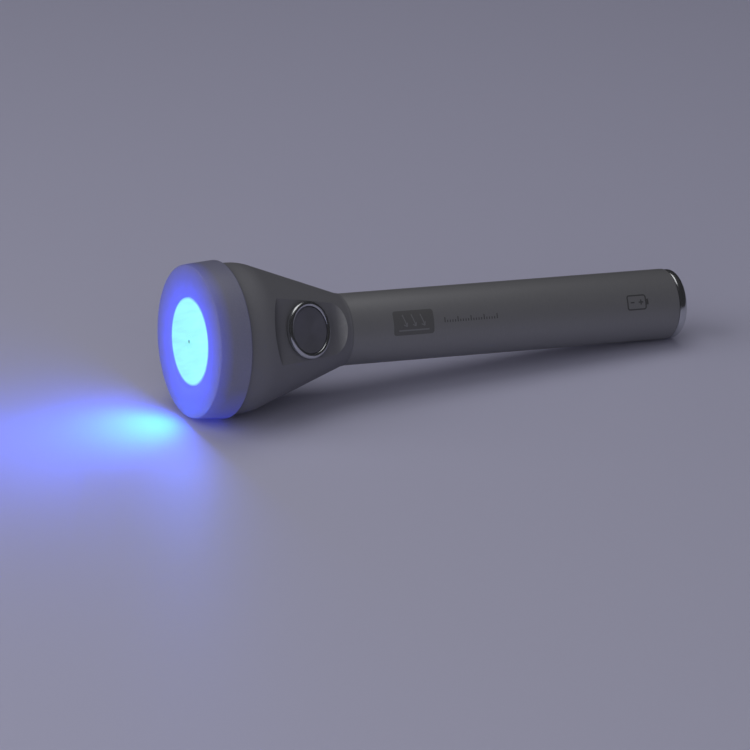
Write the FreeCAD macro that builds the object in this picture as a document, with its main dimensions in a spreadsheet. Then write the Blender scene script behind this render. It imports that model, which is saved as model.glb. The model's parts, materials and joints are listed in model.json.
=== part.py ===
"""A battery hand lamp that cures ultraviolet resin and glue, lying at rest on a table.

The lamp is drawn along its own axis. Local X is the station: the distance from the front face towards the
tail. Local Z points out through the push button. lamp_pose() puts that into the row frame: it rolls the
button to its resting side, tips the tail down until the front ring and the end of the tube both touch the
table, and puts the middle of the footprint at the origin. So +Z is up, the tail lies towards +X, and the
button is on the -Y side.

The push button has its own local frame, switch_pose(): the origin is on the floor of the button pocket,
Z points out of the pocket, and X runs along the floor towards the tail.
"""
import FreeCAD, Part
import math
import os
import re

import Sketcher
from FreeCAD import Placement, Rotation, Vector

SHEET = "Dim"
OUT = "parts"

# The driving dimensions, in millimetres and degrees. Every station is a distance from the front face.
DIMENSIONS = {
    # front ring of translucent white plastic
    "ring_face_radius": 31.7,
    "ring_back_radius": 32.7,
    "ring_length": 13.9,
    "ring_face_wall": 4.0,
    "ring_edge": 0.6,
    "window_radius": 18.4,
    "window_flare": 1.2,
    # lens and reflector
    "lens_inset": 0.6,
    "lens_crown": 0.4,
    "lens_flange_radius": 22.0,
    "lens_flange": 2.5,
    "window_seal_section": 0.8,
    "bowl_mouth_radius": 20.0,
    "bowl_neck_radius": 4.0,
    "bowl_neck": 16.6,
    "bowl_end": 18.3,
    "bowl_wall": 1.2,
    "bowl_curve": 30.6,
    # emitter board and heat sink
    "led_board_front": 19.5,
    "led_board_radius": 12.0,
    "led_board_thickness": 1.6,
    "led_side": 5.0,
    "led_thickness": 0.8,
    "led_dome_radius": 2.2,
    "screw_offset": 8.5,
    "screw_hole": 1.35,
    "screw_shank": 1.25,
    "screw_length": 6.0,
    "lead_offset": 8.5,
    "lead_hole": 2.0,
    "lead_radius": 0.65,
    # head: a short cylinder, then a cone down to the tube
    "head_radius": 31.2,
    "cone_start": 23.2,
    "cone_end": 67.0,
    "cone_angle": 20.0,
    "head_end": 68.0,
    "shoulder_round": 22.0,
    "spigot_radius": 29.1,
    "head_bore": 26.0,
    "sink_step": 23.5,
    "sink_bore": 23.5,
    "cavity_start": 28.0,
    "cavity_radius": 22.5,
    "cavity_end": 56.0,
    "board_bore": 13.0,
    "board_ledge": 66.0,
    "rear_spigot_radius": 13.45,
    "rear_spigot_bore": 11.5,
    "rear_spigot_end": 76.0,
    "seal_groove": 1.4,
    # push button and its pocket
    "button_station": 44.6,
    "pocket_depth": 3.3,
    "pocket_radius": 20.0,
    "pocket_shift": 1.5,
    "pocket_half_width": 16.0,
    "thumb_scoop_start": 58.6,
    "thumb_scoop_radius": 6.4,
    "switch_wall": 2.0,
    "bezel_radius": 12.0,
    "bezel_height": 2.6,
    "washer": 0.4,
    "barrel_radius": 10.6,
    "barrel_bore": 9.0,
    "barrel_length": 8.6,
    "nut_radius": 12.1,
    "nut_height": 2.0,
    "button_radius": 9.7,
    "button_height": 1.9,
    "button_dish": 0.3,
    "button_travel": 1.2,
    "stem_radius": 3.0,
    "stem_end": 8.0,
    "block_top": 5.2,
    "block_bottom": 15.4,
    "blade_end": 19.4,
    "blade_offset": 3.0,
    # current regulator and front contact
    "driver_front": 60.0,
    "driver_thickness": 1.4,
    "contact_radius": 3.0,
    # battery tube and its cells
    "tube_radius": 15.0,
    "tube_bore": 13.5,
    "tube_end": 222.0,
    "tube_edge": 0.4,
    "cells_start": 77.0,
    "cell_radius": 13.05,
    "cell_length": 63.8,
    "nub_radius": 4.5,
    "nub_height": 1.5,
    # tail cap
    "cap_radius": 14.7,
    "cap_length": 4.1,
    "cap_round": 2.0,
    "cap_gap": 0.1,
    "cap_spigot_radius": 13.4,
    "cap_spigot_length": 9.0,
    "cap_bore": 11.3,
    "cap_floor": 1.2,
    "cap_groove": 0.95,
    "thread_pitch": 1.5,
    "thread_depth": 0.7,
    "slot_half_length": 10.0,
    "slot_half_width": 0.9,
    "slot_depth": 1.3,
    "plate_thickness": 0.8,
    # how it lies
    "button_roll": 22.5,
    # running clearance of what slides or turns, and of what is slipped in
    "gap": 0.1,
}

# Formulas that several pieces share.
COLLAR = "(head_radius - (cone_end - cone_start) * tan(cone_angle))"
POCKET_FLOOR = (
    "(head_radius - (button_station - cone_start) * tan(cone_angle) - pocket_depth / cos(cone_angle))"
)
LENS_BACK = "(ring_face_wall + lens_flange)"
BOWL_FRONT = f"({LENS_BACK} + 2 * window_seal_section)"
LED_BOARD_BACK = "(led_board_front + led_board_thickness)"
DRIVER_BACK = "(driver_front + driver_thickness)"
CAP_FRONT = "(tube_end + cap_gap)"
CAP_FLOOR_STATION = f"({CAP_FRONT} - cap_floor)"
CELL_STEP = "(nub_height + cell_length)"

ALONG = Vector(1, 0, 0)
ACROSS = Vector(0, 1, 0)
OUTWARD = Vector(0, 0, 1)

doc = FreeCAD.newDocument("uv_curing_lamp")
sheet = doc.addObject("Spreadsheet::Sheet", SHEET)
for row, (alias, size) in enumerate(DIMENSIONS.items(), start=1):
    sheet.set(f"A{row}", alias)
    sheet.set(f"B{row}", str(size))
    sheet.setAlias(f"B{row}", alias)
doc.recompute()

subparts = []


# ---------------------------------------------------------------- formulas and sketches


def bound(formula):
    """A formula in the sheet's words, written so that any object of the document can hold it."""
    def place(word):
        return f"{SHEET}.{word[0]}" if word[0] in DIMENSIONS else word[0]

    return re.sub(r"[a-z_]+", place, formula)


def value(formula):
    """What such a formula comes to."""
    found = sheet.evalExpression(bound(formula))
    return float(getattr(found, "Value", found))


def bind(obj, prop, formula):
    """Ties one property of an object to the sheet."""
    obj.setExpression(prop, bound(formula))


def origin_item(body, role):
    """A plane or an axis of a body's own origin, such as XZ_Plane."""
    return next(item for item in body.Origin.OriginFeatures if item.Role == role)


def dimension(sketch, constraint, formula):
    """Adds a dimension to a sketch and ties it to the sheet."""
    index = sketch.addConstraint(Sketcher.Constraint(*constraint, value(formula)))
    bind(sketch, f"Constraints[{index}]", formula)


def pin(sketch, side, point, x, y):
    """Holds a point of a sketch at (x, y), each a formula."""
    for kind, formula, axis in (("DistanceX", x, -2), ("DistanceY", y, -1)):
        if abs(value(formula)) < 1e-9:
            sketch.addConstraint(Sketcher.Constraint("PointOnObject", side, point, axis))
        else:
            dimension(sketch, (kind, -1, 1, side, point), formula)


def arc_between(start, end, radius, bend):
    """The shorter arc of that radius from start to end. It turns left if bend is 1, and right if it is -1."""
    chord = end - start
    rise = math.sqrt(radius**2 - (chord.Length / 2) ** 2)
    left = Vector(-chord.y, chord.x, 0).normalize()
    centre = (start + end) * 0.5 + left * rise * bend
    first, last = [math.atan2(p.y - centre.y, p.x - centre.x) for p in (start, end)[::bend]]
    return Part.ArcOfCircle(Part.Circle(centre, OUTWARD, radius), first, last)


def draw(sketch, corners, arcs=None):
    """Draws a closed outline and ties every corner to the sheet.

    Each corner is a pair of formulas. arcs names the sides that are round, by the number of the side's
    first corner: {corner: (radius, bend)}.
    """
    arcs = arcs or {}
    points = [Vector(value(x), value(y), 0) for x, y in corners]
    sides = []
    for i, start in enumerate(points):
        end = points[(i + 1) % len(points)]
        if i in arcs:
            radius, bend = arcs[i]
            side = sketch.addGeometry(arc_between(start, end, value(radius), bend))
            dimension(sketch, ("Radius", side), radius)
            sides.append((side, *(1, 2)[::bend]))
        else:
            side = sketch.addGeometry(Part.LineSegment(start, end))
            sides.append((side, 1, 2))
    for i, (side, start_point, _) in enumerate(sides):
        before, _, before_end = sides[i - 1]
        sketch.addConstraint(Sketcher.Constraint("Coincident", before, before_end, side, start_point))
        pin(sketch, side, start_point, *corners[i])


def draw_circle(sketch, x, y, radius):
    """Draws a whole circle, its centre and radius tied to the sheet."""
    circle = Part.Circle(Vector(value(x), value(y), 0), OUTWARD, value(radius))
    side = sketch.addGeometry(circle)
    dimension(sketch, ("Radius", side), radius)
    pin(sketch, side, 3, x, y)


def new_body(label, pose):
    """An empty PartDesign body that will be one sub-part, at its place in the lamp."""
    body = doc.addObject("PartDesign::Body", label)
    body.Label = label
    body.Placement = pose
    subparts.append(body)
    return body


def new_sketch(body, name, plane, x="0", z="0", tilt="0"):
    """A sketch on one of the body's own planes.

    x and z move it along the plane's first axis and its normal. tilt turns it about the plane's second axis.
    """
    sketch = body.newObject("Sketcher::SketchObject", name)
    sketch.AttachmentSupport = (origin_item(body, plane), "")
    sketch.MapMode = "FlatFace"
    sketch.AttachmentOffset = Placement(Vector(value(x), 0, value(z)), Rotation(ACROSS, value(tilt)))
    bind(sketch, "AttachmentOffset.Base.x", x)
    bind(sketch, "AttachmentOffset.Base.z", z)
    bind(sketch, "AttachmentOffset.Rotation.Angle", tilt)
    return sketch


# ---------------------------------------------------------------- features


def turned(label, pose, corners, arcs=None, axis="H_Axis"):
    """A piece turned on the local X axis. Its outline is (station, radius)."""
    body = new_body(label, pose)
    sketch = new_sketch(body, f"{label}_outline", "XZ_Plane")
    draw(sketch, corners, arcs)
    turn = body.newObject("PartDesign::Revolution", f"{label}_turn")
    turn.Profile = sketch
    turn.ReferenceAxis = (sketch, [axis])
    turn.Angle = 360
    doc.recompute()
    return body


def turned_upright(label, pose, corners, arcs=None):
    """A piece turned on the local Z axis. Its outline is (radius, height)."""
    return turned(label, pose, corners, arcs, "V_Axis")


def cut(body, sketch, depth, outward=False):
    """Pockets a sketch into its body, and stops if that removed nothing."""
    before = body.Shape.Volume
    pocket = body.newObject("PartDesign::Pocket", f"{sketch.Name}_cut")
    pocket.Profile = sketch
    pocket.Reversed = outward
    bind(pocket, "Length", depth)
    doc.recompute()
    if body.Shape.Volume > before - 0.01:
        raise RuntimeError(f"{sketch.Name} cuts nothing from {body.Label}")
    return pocket


def drill(body, name, back, depth, holes):
    """Round holes, each (across, up, radius), from a station on the lamp's axis towards the front."""
    sketch = new_sketch(body, name, "YZ_Plane", z=back)
    for hole in holes:
        draw_circle(sketch, *hole)
    cut(body, sketch, depth)


def round_edge(body, station, radius, by):
    """Rounds the circular edge of a turned body at that station and radius."""
    place, size = value(station), value(radius)
    base = body.Tip
    edges = [
        f"Edge{i}"
        for i, edge in enumerate(base.Shape.Edges, start=1)
        if isinstance(edge.Curve, Part.Circle)
        and abs(edge.Curve.Radius - size) < 0.02
        and abs(edge.Curve.Center.x - place) < 0.02
    ]
    if not edges:
        raise RuntimeError(f"{body.Label} has no round edge at {station}, {radius}")
    fillet = body.newObject("PartDesign::Fillet", f"{body.Name}_round")
    fillet.Base = (base, edges)
    bind(fillet, "Radius", by)
    doc.recompute()


def o_ring(label, station, ring_radius, section):
    """A rubber O-ring round the lamp's axis."""
    ring = doc.addObject("Part::Torus", label)
    ring.Label = label
    bind(ring, "Radius1", ring_radius)
    bind(ring, "Radius2", section)
    ring.Placement = POSE * along_axis(station)
    subparts.append(ring)


def along_axis(station, across="0", up="0"):
    """Puts a primitive's own Z axis along the lamp, starting from a station."""
    return Placement(Vector(value(station), value(across), value(up)), Rotation(ACROSS, 90))


def corner_at(station, across, up):
    """Puts a box's lowest corner at a place in the lamp."""
    return Placement(Vector(value(station), value(across), value(up)), Rotation())


def primitive(kind, name, placement, **sizes):
    """A Part primitive whose sizes are formulas."""
    solid = doc.addObject(f"Part::{kind}", name)
    for prop, formula in sizes.items():
        bind(solid, prop, formula)
    solid.Placement = placement
    return solid


def group(label, pose, members):
    """Separate solids that share one sub-part."""
    compound = doc.addObject("Part::Compound", label)
    compound.Label = label
    compound.Links = members
    compound.Placement = pose
    subparts.append(compound)


def formed(label, pose, shape):
    """A sub-part that neither a sketch nor a primitive fits: a spring or bent wires."""
    feature = doc.addObject("Part::Feature", label)
    feature.Label = label
    feature.Shape = shape
    feature.Placement = pose
    subparts.append(feature)


def coil_spring(label, pose, radii, wire_radius, low, high, turns):
    """A compression spring along Z from low to high. Its coils grow from the first radius to the last."""
    first_radius, last_radius = radii
    height = high - low - 2 * wire_radius
    lean = math.degrees(math.atan2(last_radius - first_radius, height))
    helix = Part.makeHelix(height / turns, height, first_radius, lean)
    section = Part.Wire(Part.makeCircle(wire_radius, Vector(first_radius, 0, 0), ACROSS))
    solid = Part.Wire(helix.Edges).makePipeShell([section], True, True)
    formed(label, pose * Placement(OUTWARD * (low + wire_radius), Rotation()), solid)


def bent_wire(points, radius, bend):
    """A round wire through points, each inner corner rounded to the same bend."""
    edges = []
    last = points[0]
    for before, corner, after in zip(points, points[1:], points[2:]):
        back, on = (before - corner).normalize(), (after - corner).normalize()
        half = back.getAngle(on) / 2
        first, final = corner + back * (bend / math.tan(half)), corner + on * (bend / math.tan(half))
        middle = corner + (back + on).normalize() * (bend / math.sin(half) - bend)
        edges.append(Part.LineSegment(last, first).toShape())
        edges.append(Part.Arc(first, middle, final).toShape())
        last = final
    edges.append(Part.LineSegment(last, points[-1]).toShape())
    section = Part.Wire(Part.makeCircle(radius, points[0], points[1] - points[0]))
    return Part.Wire(edges).makePipeShell([section], True, False)


# ---------------------------------------------------------------- where things are


def lamp_pose():
    """From the lamp's own axes to the row frame."""
    touch = value("ring_length - ring_edge")
    heel = value("tube_end - tube_edge")
    back, tube = value("ring_back_radius"), value("tube_radius")
    lean = math.atan2(back - tube, heel - touch)
    height = touch * math.sin(lean) + back * math.cos(lean)
    leftmost = -value("ring_face_radius - ring_edge") * math.sin(lean)
    end, rim, rounding = value(f"{CAP_FRONT} + cap_length"), value("cap_radius"), value("cap_round")
    rightmost = (end - rounding) * math.cos(lean) + (rim - rounding) * math.sin(lean) + rounding
    tip = Rotation(ACROSS, math.degrees(lean))
    roll = Rotation(ALONG, 90 - value("button_roll"))
    return Placement(Vector(-(leftmost + rightmost) / 2, 0, height), tip * roll)


def switch_pose():
    """From the button's own axes to the row frame."""
    floor = Vector(value("button_station"), 0, value(POCKET_FLOOR))
    return POSE * Placement(floor, Rotation(ACROSS, value("cone_angle")))


# ---------------------------------------------------------------- window and optics


def front_ring():
    """Ring of translucent white plastic: a flat face round the window, and a skirt over the head's spigot."""
    turned("front_ring", POSE, [
        ("0", "window_radius + window_flare"),
        ("0", "ring_face_radius - ring_edge"),
        ("ring_edge", "ring_face_radius"),
        ("ring_length - ring_edge", "ring_back_radius"),
        ("ring_length", "ring_back_radius - ring_edge"),
        ("ring_length", "spigot_radius + gap"),
        ("ring_face_wall", "spigot_radius + gap"),
        ("ring_face_wall", "window_radius"),
        ("ring_edge", "window_radius"),
    ])


def window_lens():
    """Clear lens with a slightly crowned front, held behind the ring by its flange."""
    edge = "(window_radius - 2 * gap)"
    crown_radius = f"({edge} ^ 2 + lens_crown ^ 2) / (2 * lens_crown)"
    turned("window_lens", POSE, [
        ("lens_inset - lens_crown", "0"),
        (LENS_BACK, "0"),
        (LENS_BACK, "lens_flange_radius"),
        ("ring_face_wall", "lens_flange_radius"),
        ("ring_face_wall", edge),
        ("lens_inset", edge),
    ], {5: (crown_radius, 1)})


def window_seals():
    """One O-ring behind the lens, and one between the ring's skirt and the head."""
    behind_lens = f"{LENS_BACK} + window_seal_section"
    o_ring("window_seal", behind_lens, "lens_flange_radius - 1", "window_seal_section")
    o_ring("ring_seal", "12", "spigot_radius - 0.4", "0.48")


def reflector():
    """Metallised bowl with a flange that centres it in the head and a neck round the emitter."""
    turned("reflector", POSE, [
        (BOWL_FRONT, "bowl_mouth_radius"),
        (BOWL_FRONT, "head_bore - gap"),
        (f"{BOWL_FRONT} + bowl_wall", "head_bore - gap"),
        (f"{BOWL_FRONT} + bowl_wall", "bowl_mouth_radius + bowl_wall"),
        ("bowl_neck + 0.6", "bowl_neck_radius + bowl_wall"),
        ("bowl_end", "bowl_neck_radius + bowl_wall"),
        ("bowl_end", "bowl_neck_radius"),
        ("bowl_neck", "bowl_neck_radius"),
    ], {3: ("bowl_curve", -1), 7: ("bowl_curve", 1)})


def led_insulator():
    """White plastic washer that keeps the metal bowl off the emitter board."""
    turned("led_insulator", POSE, [
        ("bowl_end", "bowl_neck_radius - 0.3"),
        ("bowl_end", "bowl_neck_radius + 2"),
        ("led_board_front", "bowl_neck_radius + 2"),
        ("led_board_front", "bowl_neck_radius - 0.3"),
    ])


def emitter():
    """The light-emitting diode: a square ceramic package and a silicone dome on it."""
    front = "led_board_front - led_thickness"
    square = primitive(
        "Box", "led_package", POSE * corner_at(front, "0 - led_side / 2", "0 - led_side / 2"),
        Length="led_thickness", Width="led_side", Height="led_side",
    )
    facing_front = Placement(ALONG * value(front), Rotation(ACROSS, -90))
    dome = primitive(
        "Sphere", "led_dome", POSE * facing_front, Radius="led_dome_radius", Angle1="0", Angle2="90",
    )
    subparts.extend([square, dome])


# ---------------------------------------------------------------- emitter board and heat sink


def led_board():
    """Round aluminium-cored board, with two screw holes and a hole for its leads."""
    body = turned("led_board", POSE, [
        ("led_board_front", "0"),
        ("led_board_front", "led_board_radius"),
        (LED_BOARD_BACK, "led_board_radius"),
        (LED_BOARD_BACK, "0"),
    ])
    drill(body, "led_board_holes", LED_BOARD_BACK, "led_board_thickness", [
        ("screw_offset", "0", "screw_hole"),
        ("0 - screw_offset", "0", "screw_hole"),
        ("0", "0 - lead_offset", "lead_hole"),
    ])


def led_board_screws():
    """Two pan-head screws that clamp the board to the heat sink."""
    screws = []
    for side in ("screw_offset", "0 - screw_offset"):
        head = primitive(
            "Cylinder", "screw_head", along_axis("led_board_front - 1.4", side), Radius="2.1", Height="1.4",
        )
        shank = primitive(
            "Cylinder", "screw_shank", along_axis("led_board_front - 0.2", side),
            Radius="screw_shank", Height="screw_length + 0.2",
        )
        screw = doc.addObject("Part::Fuse", "screw")
        screw.Base = head
        screw.Tool = shank
        screws.append(screw)
    group("led_board_screws", POSE, screws)


def heat_sink():
    """Stepped aluminium slug that carries the board's heat into the head."""
    body = turned("heat_sink", POSE, [
        (LED_BOARD_BACK, "0"),
        (LED_BOARD_BACK, "head_bore - gap"),
        ("sink_step", "head_bore - gap"),
        ("sink_step", "sink_bore - gap"),
        ("cavity_start - 0.2", "sink_bore - gap"),
        ("cavity_start - 0.2", "0"),
    ])
    drill(body, "heat_sink_holes", "cavity_start - 0.2", f"cavity_start - 0.2 - {LED_BOARD_BACK}", [
        ("screw_offset", "0", "screw_hole"),
        ("0 - screw_offset", "0", "screw_hole"),
        ("0", "0 - lead_offset", "lead_hole"),
    ])


# ---------------------------------------------------------------- head shell


def head_shell():
    """Coated metal head: a spigot for the ring, a cylinder, a cone, and a spigot that enters the tube.

    The button sits in a flat pocket milled parallel to the side of the cone. Towards the tail the floor of
    the pocket curves up again in a scoop, where the thumb slides on to the button.
    """
    body = turned("head_shell", POSE, [
        ("ring_face_wall + 0.3", "head_bore"),
        ("ring_face_wall + 0.3", "spigot_radius"),
        ("12 - seal_groove / 2", "spigot_radius"),
        ("12 - seal_groove / 2", "spigot_radius - 0.9"),
        ("12 + seal_groove / 2", "spigot_radius - 0.9"),
        ("12 + seal_groove / 2", "spigot_radius"),
        ("ring_length", "spigot_radius"),
        ("ring_length", "head_radius - 0.4"),
        ("ring_length + 0.4", "head_radius"),
        ("cone_start", "head_radius"),
        ("cone_end", COLLAR),
        ("head_end - 0.3", COLLAR),
        ("head_end", f"{COLLAR} - 0.3"),
        ("head_end", "rear_spigot_radius"),
        ("head_end + 1.8", "rear_spigot_radius"),
        ("head_end + 1.8", "rear_spigot_radius - 1.15"),
        ("head_end + 1.8 + seal_groove", "rear_spigot_radius - 1.15"),
        ("head_end + 1.8 + seal_groove", "rear_spigot_radius"),
        ("rear_spigot_end", "rear_spigot_radius"),
        ("rear_spigot_end", "rear_spigot_bore"),
        ("board_ledge", "rear_spigot_bore"),
        ("board_ledge", "board_bore"),
        ("cavity_end", "board_bore"),
        ("cavity_start", "cavity_radius"),
        ("cavity_start", "sink_bore"),
        ("sink_step", "sink_bore"),
        ("sink_step", "head_bore"),
    ])
    round_edge(body, "cone_start", "head_radius", "shoulder_round")
    round_edge(body, "cone_end", COLLAR, "3")
    button_pocket(body)
    switch_hole(body)


def button_pocket(body):
    """Mills the flat floor of the pocket, and the round scoop that carries it up towards the tail."""
    clear_height = "12"
    arc_end = "0 - pocket_shift - sqrt(pocket_radius ^ 2 - pocket_half_width ^ 2)"
    floor_end = "(thumb_scoop_start - button_station) / cos(cone_angle)"
    floor = new_sketch(body, "pocket_floor", "XY_Plane", "button_station", POCKET_FLOOR, "cone_angle")
    draw(floor, [
        (arc_end, "pocket_half_width"),
        (arc_end, "0 - pocket_half_width"),
        (floor_end, "0 - pocket_half_width"),
        (floor_end, "pocket_half_width"),
    ], {0: ("pocket_radius", 1)})
    cut(body, floor, clear_height, outward=True)

    floor_height = f"({POCKET_FLOOR} - (thumb_scoop_start - button_station) * tan(cone_angle))"
    scoop_end = "thumb_scoop_start + thumb_scoop_radius * (1 + sin(cone_angle))"
    scoop_top = f"{floor_height} + thumb_scoop_radius * cos(cone_angle)"
    scoop = new_sketch(body, "thumb_scoop", "XZ_Plane", z="pocket_half_width")
    draw(scoop, [
        ("thumb_scoop_start", floor_height),
        (scoop_end, scoop_top),
        (scoop_end, f"{scoop_top} + {clear_height}"),
        ("thumb_scoop_start", f"{scoop_top} + {clear_height}"),
    ], {0: ("thumb_scoop_radius", 1)})
    cut(body, scoop, "2 * pocket_half_width")


def switch_hole(body):
    """Bores the hole for the switch, and a wider flat seat for its nut inside."""
    hole = new_sketch(body, "switch_hole", "XY_Plane", "button_station", POCKET_FLOOR, "cone_angle")
    draw_circle(hole, "0", "0", "barrel_radius + gap")
    cut(body, hole, "block_bottom")
    seat_station = "button_station - switch_wall * sin(cone_angle)"
    seat_height = f"{POCKET_FLOOR} - switch_wall * cos(cone_angle)"
    seat = new_sketch(body, "nut_seat", "XY_Plane", seat_station, seat_height, "cone_angle")
    draw_circle(seat, "0", "0", "nut_radius + 3 * gap")
    cut(body, seat, "block_bottom - switch_wall")


# ---------------------------------------------------------------- push button


def switch_housing():
    """Chromed housing of the button: a rounded bezel on the pocket floor and a barrel through it."""
    turned_upright("switch_housing", SWITCH, [
        ("button_radius + gap", "0 - button_travel - 3 * gap"),
        ("barrel_bore", "0 - button_travel - 3 * gap"),
        ("barrel_bore", "0 - barrel_length"),
        ("barrel_radius", "0 - barrel_length"),
        ("barrel_radius", "washer"),
        ("bezel_radius", "washer"),
        ("bezel_radius", "bezel_height - 1"),
        ("bezel_radius - 1", "bezel_height"),
        ("button_radius + gap", "bezel_height - 0.6"),
    ], {6: ("1", 1), 7: ("1.5", 1)})


def switch_seal():
    """Flat rubber washer under the bezel."""
    turned_upright("switch_seal", SWITCH, [
        ("barrel_radius + 0.15", "0"),
        ("bezel_radius - 0.25", "0"),
        ("bezel_radius - 0.25", "washer"),
        ("barrel_radius + 0.15", "washer"),
    ])


def switch_nut():
    """Round nut with four spanner notches, inside the head."""
    notches = 4
    low = "0 - switch_wall - nut_height"
    body = turned_upright("switch_nut", SWITCH, [
        ("barrel_radius + gap / 2", low),
        ("nut_radius", low),
        ("nut_radius", "0 - switch_wall"),
        ("barrel_radius + gap / 2", "0 - switch_wall"),
    ])
    notch = new_sketch(body, "nut_notch", "XY_Plane", z=low)
    draw(notch, [
        ("nut_radius - 0.8", "0 - 1"),
        ("nut_radius + 1", "0 - 1"),
        ("nut_radius + 1", "1"),
        ("nut_radius - 0.8", "1"),
    ])
    first = cut(body, notch, "nut_height", outward=True)
    pattern = body.newObject("PartDesign::PolarPattern", "nut_notches")
    pattern.Originals = [first]
    pattern.Axis = (origin_item(body, "Z_Axis"), [""])
    pattern.Angle = 360
    pattern.Occurrences = notches
    body.Tip = pattern
    doc.recompute()


def switch_module():
    """Black plastic contact block in the barrel, bored for the button's stem."""
    turned_upright("switch_module", SWITCH, [
        ("stem_radius + gap", "0 - block_top"),
        ("stem_radius + gap", "0 - stem_end - button_travel - 0.8"),
        ("0", "0 - stem_end - button_travel - 0.8"),
        ("0", "0 - block_bottom"),
        ("barrel_bore - gap", "0 - block_bottom"),
        ("barrel_bore - gap", "0 - block_top"),
    ])


def switch_terminals():
    """Two flat brass blades under the contact block."""
    blades = [
        primitive(
            "Box", "terminal", corner_at("0 - 1.4", f"{side} - 0.25", "0 - blade_end"),
            Length="2.8", Width="0.5", Height="blade_end - block_bottom",
        )
        for side in ("blade_offset", "0 - blade_offset")
    ]
    group("switch_terminals", SWITCH, blades)


def button_cap():
    """The button: a slightly dished steel disc on a stem."""
    rim = "(button_radius - 0.4)"
    dish_radius = f"({rim} ^ 2 + button_dish ^ 2) / (2 * button_dish)"
    turned_upright("button_cap", SWITCH, [
        ("0", "0 - stem_end"),
        ("stem_radius", "0 - stem_end"),
        ("stem_radius", "0 - gap"),
        ("button_radius", "0 - gap"),
        ("button_radius", "button_height - 0.4"),
        (rim, "button_height"),
        ("0", "button_height - button_dish"),
    ], {4: ("0.4", 1), 5: (dish_radius, -1)})


def button_spring():
    """Return spring round the stem, between the button and the contact block."""
    radius = value("stem_radius + 1.4")
    low, high = value("0.05 - block_top"), value("0 - gap - 0.05")
    coil_spring("button_spring", SWITCH, (radius, radius), 0.35, low, high, 4)


# ---------------------------------------------------------------- electronics


def driver_board():
    """Round board of the current regulator."""
    turned("driver_board", POSE, [
        ("driver_front", "0"),
        ("driver_front", "board_bore - 0.4"),
        (DRIVER_BACK, "board_bore - 0.4"),
        (DRIVER_BACK, "0"),
    ])


def driver_components():
    """Inductor, capacitor, regulator chip and diode, standing on the front of the driver board."""
    inductor = primitive(
        "Cylinder", "inductor", along_axis("driver_front - 4", "0", "0 - 5.6"),
        Radius="3.6", Height="4",
    )
    capacitor = primitive(
        "Cylinder", "capacitor", along_axis("driver_front - 4", "6", "4"),
        Radius="2.5", Height="4",
    )
    regulator = primitive(
        "Box", "regulator", corner_at("driver_front - 1.5", "0 - 8", "1"),
        Length="1.5", Width="4", Height="5",
    )
    diode = primitive(
        "Box", "diode", corner_at("driver_front - 2", "6", "0 - 4"),
        Length="2", Width="2.5", Height="4.5",
    )
    group("driver_components", POSE, [inductor, capacitor, regulator, diode])


def wire_pair(label, route):
    """Two insulated wires, mirror images of each other. The route is (station, across, up) in millimetres."""
    wires = [
        bent_wire([Vector(x, side * y, z) for x, y, z in route], value("lead_radius"), 5)
        for side in (1, -1)
    ]
    formed(label, POSE, Part.makeCompound(wires))


def led_leads():
    """From the emitter board, through the heat sink, to the driver board."""
    low = -value("lead_offset")
    end = value("driver_front") - 0.1
    wire_pair("led_leads", [
        (value("led_board_front") + 0.3, 1, low),
        (value("cavity_start") + 2, 1, low),
        (end - 4, 2.6, low - 2.5),
        (end, 2.6, low - 2.5),
    ])


def switch_leads():
    """From the switch's blades, under its block and up, to the driver board."""
    across = value("blade_offset")
    end = value("driver_front") - 0.1
    wire_pair("switch_leads", [
        (39.9, across, 2.2),
        (49.5, across, 0.6),
        (end - 5.9, across, 9.2),
        (end, across, 9.2),
    ])


def contact_carrier():
    """Plastic plug in the head's rear spigot. It holds the front contact and backs the driver board."""
    end = "cells_start - 1.6"
    turned("contact_carrier", POSE, [
        (DRIVER_BACK, "contact_radius + gap"),
        (DRIVER_BACK, "board_bore - 2 * gap"),
        ("board_ledge", "board_bore - 2 * gap"),
        ("board_ledge", "rear_spigot_bore - gap"),
        (end, "rear_spigot_bore - gap"),
        (end, "contact_radius + gap"),
    ])


def front_contact():
    """Brass contact that meets the first cell."""
    turned("front_contact", POSE, [
        (DRIVER_BACK, "0"),
        (DRIVER_BACK, "contact_radius"),
        ("cells_start - 1.6", "contact_radius"),
        ("cells_start - 1.6", "contact_radius + 2"),
        ("cells_start", "contact_radius + 2"),
        ("cells_start", "0"),
    ])


# ---------------------------------------------------------------- battery tube and tail


def body_tube():
    """Anodised aluminium battery tube, its ends slightly chamfered outside."""
    turned("body_tube", POSE, [
        ("head_end", "tube_bore"),
        ("head_end", "tube_radius - 0.2"),
        ("head_end + 0.2", "tube_radius"),
        ("tube_end - tube_edge", "tube_radius"),
        ("tube_end", "tube_radius - tube_edge"),
        ("tube_end", "tube_bore"),
    ])
    o_ring("tube_seal", "head_end + 1.8 + seal_groove / 2", "rear_spigot_radius - 0.55", "0.58")


def cells():
    """Two rechargeable cells in line, their positive nubs towards the head."""
    for label, start in (("front_cell", "cells_start"), ("rear_cell", f"cells_start + {CELL_STEP}")):
        shoulder = f"({start} + nub_height)"
        end = f"({start} + {CELL_STEP})"
        turned(label, POSE, [
            (start, "0"),
            (start, "nub_radius"),
            (shoulder, "nub_radius"),
            (shoulder, "cell_radius - 1"),
            (f"{shoulder} + 1", "cell_radius"),
            (f"{end} - 1", "cell_radius"),
            (end, "cell_radius - 1"),
            (end, "0"),
        ], {3: ("1", -1), 5: ("1", -1)})


def tail_spring():
    """Spring that pushes the cells forward. It widens towards the cap."""
    low = value(f"cells_start + 2 * {CELL_STEP}")
    high = value(f"{CAP_FLOOR_STATION} - gap - plate_thickness")
    coil_spring("tail_spring", POSE * along_axis("0"), (6, 9.6), 0.6, low, high, 4)


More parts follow.
